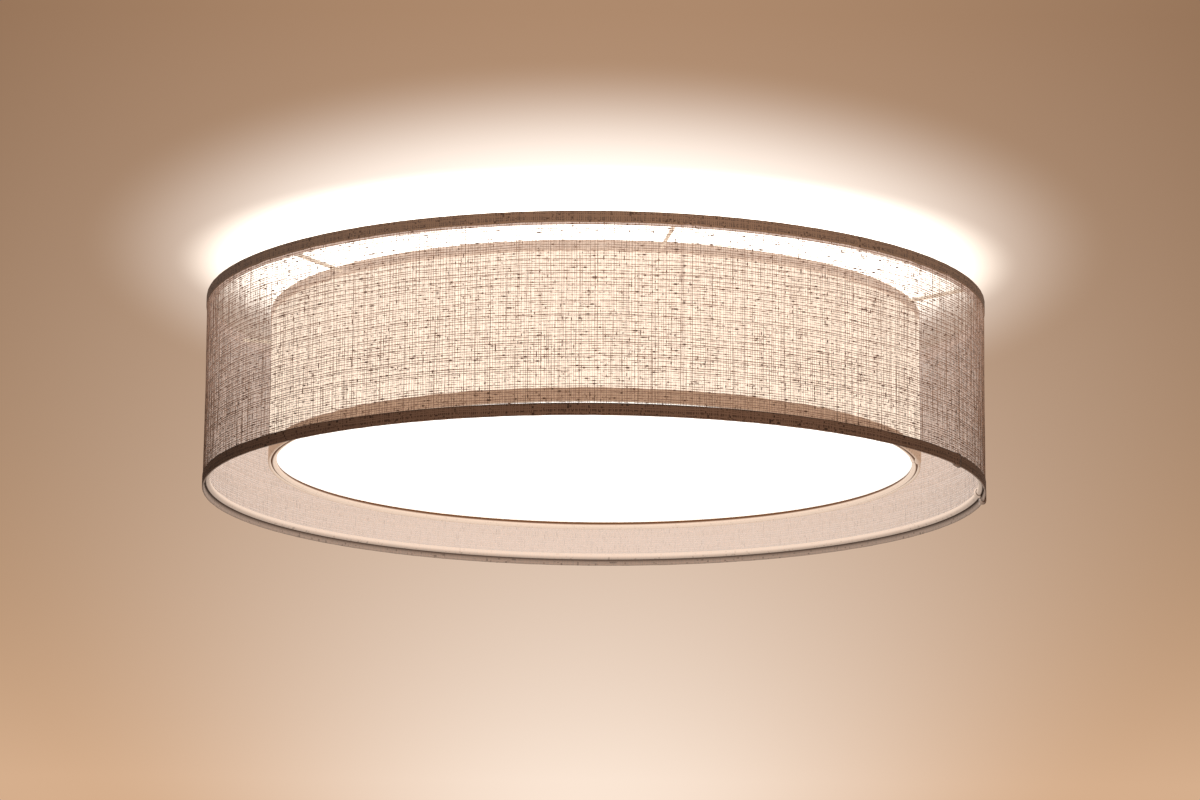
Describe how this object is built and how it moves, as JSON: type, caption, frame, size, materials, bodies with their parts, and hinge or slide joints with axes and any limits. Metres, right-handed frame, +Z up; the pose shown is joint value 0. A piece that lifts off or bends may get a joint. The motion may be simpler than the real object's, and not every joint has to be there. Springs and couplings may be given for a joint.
{
  "type": "flush mount ceiling light",
  "caption": "Round fabric ceiling light: an inner drum and a sheer outer drum on a wire spider, with screw-in bulbs, an opal disc and a canopy that fixes to the ceiling.",
  "frame": {"origin": "on the ceiling face, at the middle of the mounting bar's top", "axes": "+Z up into the ceiling, so the light hangs towards -Z; -Y towards the viewer of the picture, +X to the viewer's right"},
  "size_m": [0.6009, 0.601, 0.178],
  "materials": {
    "painted_steel": "white powder coat, satin",
    "zinc_steel": "bright zinc plate",
    "nickel": "satin nickel plate",
    "brass": "plain brass",
    "terminal_plastic": "moulded",
    "holder_plastic": "moulded white",
    "ceramic": "glazed",
    "live_insulation": "extruded, brown",
    "neutral_insulation": "extruded, blue",
    "bulb_globe": "opal",
    "bulb_housing": "white",
    "bulb_cap": "rolled thread",
    "bulb_tip": "black glass with a soldered tip",
    "outer_fabric": "sheer linen weave, greige",
    "inner_fabric": "linen weave, greige",
    "hem_tape": "linen tape, rolled and glued",
    "liner_film": "white lampshade film",
    "opal_acrylic": "opal, satin"
  },
  "bodies": {
    "fixture": {"canopy": "painted_steel", "holder_bracket": "painted_steel", "spider_hub": "painted_steel", "spider_arms": "painted_steel", "joining_rods": "painted_steel", "stem_spacers": "painted_steel", "outer_top_ring": "painted_steel", "outer_bottom_ring": "painted_steel", "inner_top_ring": "painted_steel", "inner_bottom_ring": "painted_steel", "mounting_bar": "zinc_steel", "canopy_studs": "zinc_steel", "stud_nuts": "zinc_steel", "terminal_screws": "zinc_steel", "block_screw": "zinc_steel", "earth_screw": "zinc_steel", "stem_tube": "zinc_steel", "stem_nuts": "zinc_steel", "stem_washers": "zinc_steel", "holder_nuts": "zinc_steel", "terminal_sleeves": "brass", "earth_washer": "brass", "centre_contacts": "brass", "thread_sleeve_1": "brass", "thread_sleeve_2": "brass", "thread_sleeve_3": "brass", "terminal_block": "terminal_plastic", "stem_bushes": "terminal_plastic", "holder_cap_1": "holder_plastic", "holder_skirt_1": "holder_plastic", "holder_cap_2": "holder_plastic", "holder_skirt_2": "holder_plastic", "holder_cap_3": "holder_plastic", "holder_skirt_3": "holder_plastic", "holder_inserts": "ceramic", "live_leads": "live_insulation", "neutral_leads": "neutral_insulation", "outer_fabric": "outer_fabric", "inner_fabric": "inner_fabric", "outer_top_hem": "hem_tape", "outer_bottom_hem": "hem_tape", "inner_top_hem": "hem_tape", "inner_bottom_hem": "hem_tape", "inner_liner": "liner_film"},
    "bulb_1": {"bulb_globe_1": "bulb_globe", "bulb_housing_1": "bulb_housing", "bulb_cap_1": "bulb_cap", "bulb_tip_1": "bulb_tip"},
    "bulb_2": {"bulb_globe_2": "bulb_globe", "bulb_housing_2": "bulb_housing", "bulb_cap_2": "bulb_cap", "bulb_tip_2": "bulb_tip"},
    "bulb_3": {"bulb_globe_3": "bulb_globe", "bulb_housing_3": "bulb_housing", "bulb_cap_3": "bulb_cap", "bulb_tip_3": "bulb_tip"},
    "nut_1": {"cap_nut_1": "nickel"},
    "nut_2": {"cap_nut_2": "nickel"},
    "disc": {"diffuser": "opal_acrylic"}
  },
  "joints": [
    {"name": "bulb_1_out", "type": "slide", "parent": "fixture", "child": "bulb_1", "axis": [0, 1, 0], "range_m": [0, 0.026]},
    {"name": "bulb_2_out", "type": "slide", "parent": "fixture", "child": "bulb_2", "axis": [-0.866, -0.5, 0], "range_m": [0, 0.026]},
    {"name": "bulb_3_out", "type": "slide", "parent": "fixture", "child": "bulb_3", "axis": [0.866, -0.5, 0], "range_m": [0, 0.026]},
    {"name": "diffuser_lift", "type": "slide", "parent": "fixture", "child": "disc", "axis": [0, 0, 1], "range_m": [0, 0.025]},
    {"name": "nut_1_turn", "type": "hinge", "parent": "fixture", "child": "nut_1", "pos_m": [-0.042, 0, -0.03], "axis": [0, 0, 1], "continuous": true},
    {"name": "nut_2_turn", "type": "hinge", "parent": "fixture", "child": "nut_2", "pos_m": [0.042, 0, -0.03], "axis": [0, 0, 1], "continuous": true}
  ]
}
